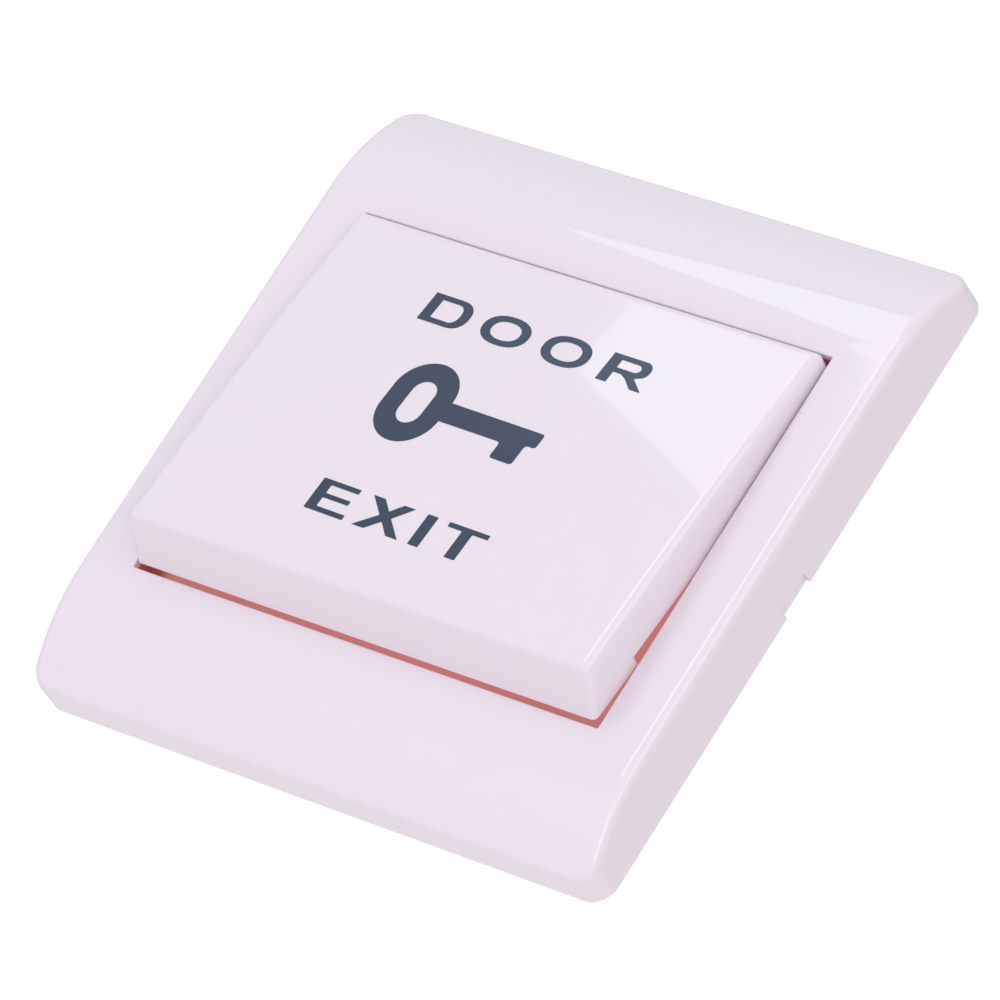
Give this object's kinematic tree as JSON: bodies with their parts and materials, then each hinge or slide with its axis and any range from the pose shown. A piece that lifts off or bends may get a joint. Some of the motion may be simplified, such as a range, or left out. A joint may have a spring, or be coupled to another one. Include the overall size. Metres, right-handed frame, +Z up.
{
  "type": "door exit button",
  "caption": "Flush wall door exit button: a large hinged push button in an arched clip-fitted cover frame on a carrier plate, with a changeover contact block behind.",
  "frame": {"origin": "middle of the cover frame's back, on the wall plane", "axes": "+Z up the wall, +Y into the wall, +X to the right as seen from the room; the button faces -Y"},
  "size_m": [0.086, 0.0282, 0.086],
  "materials": {
    "frame_plastic": "injection-moulded glossy ABS, off-white",
    "button_plastic": "injection-moulded glossy ABS, off-white",
    "carrier_plastic": "injection-moulded red-brown plastic, semi-matt",
    "case_plastic": "black moulded phenolic, matt",
    "plunger_plastic": "natural white acetal, satin",
    "spring_steel": "bright drawn spring wire",
    "screw_steel": "zinc-plated steel",
    "strip_brass": "stamped brass strip",
    "contact_silver": "pressed silver contact"
  },
  "bodies": {
    "root": {"face_frame": "frame_plastic", "carrier": "carrier_plastic", "return_spring_left": "spring_steel", "return_spring_right": "spring_steel", "switch_case": "case_plastic", "case_lid": "case_plastic", "lever_pin": "screw_steel", "lever_spring": "spring_steel", "com_strip": "strip_brass", "nc_strip": "strip_brass", "no_strip": "strip_brass", "nc_contact": "contact_silver", "no_contact": "contact_silver", "wire_clamps": "screw_steel", "terminal_screws": "screw_steel", "case_screws": "screw_steel"},
    "button": {"button": "button_plastic"},
    "plunger": {"plunger": "plunger_plastic"},
    "contact_lever": {"contact_lever": "strip_brass", "lever_contact": "contact_silver"}
  },
  "joints": [
    {"name": "button_press", "type": "hinge", "parent": "root", "child": "button", "pos_m": [0, -0.0064, 0.0232], "axis": [1, 0, 0], "range_deg": [0, 5], "stiffness_Nm_per_rad": 0.7, "springref_deg": -4.98, "deforming": ["return_spring_left", "return_spring_right"]},
    {"name": "plunger_slide", "type": "slide", "parent": "root", "child": "plunger", "axis": [0, 1, 0], "range_m": [0, 0.00203]},
    {"name": "contact_swing", "type": "hinge", "parent": "root", "child": "contact_lever", "pos_m": [-0.01, 0.00611, 0], "axis": [0, 0, 1], "range_deg": [0, 11.62], "stiffness_Nm_per_rad": 0.008, "springref_deg": -10.89, "deforming": ["lever_spring"]}
  ],
  "couplings": [
    {"joint": "plunger_slide", "follows": "button_press", "m_per_rad": 0.023171},
    {"joint": "contact_swing", "follows": "button_press", "ratio": 2.321}
  ]
}
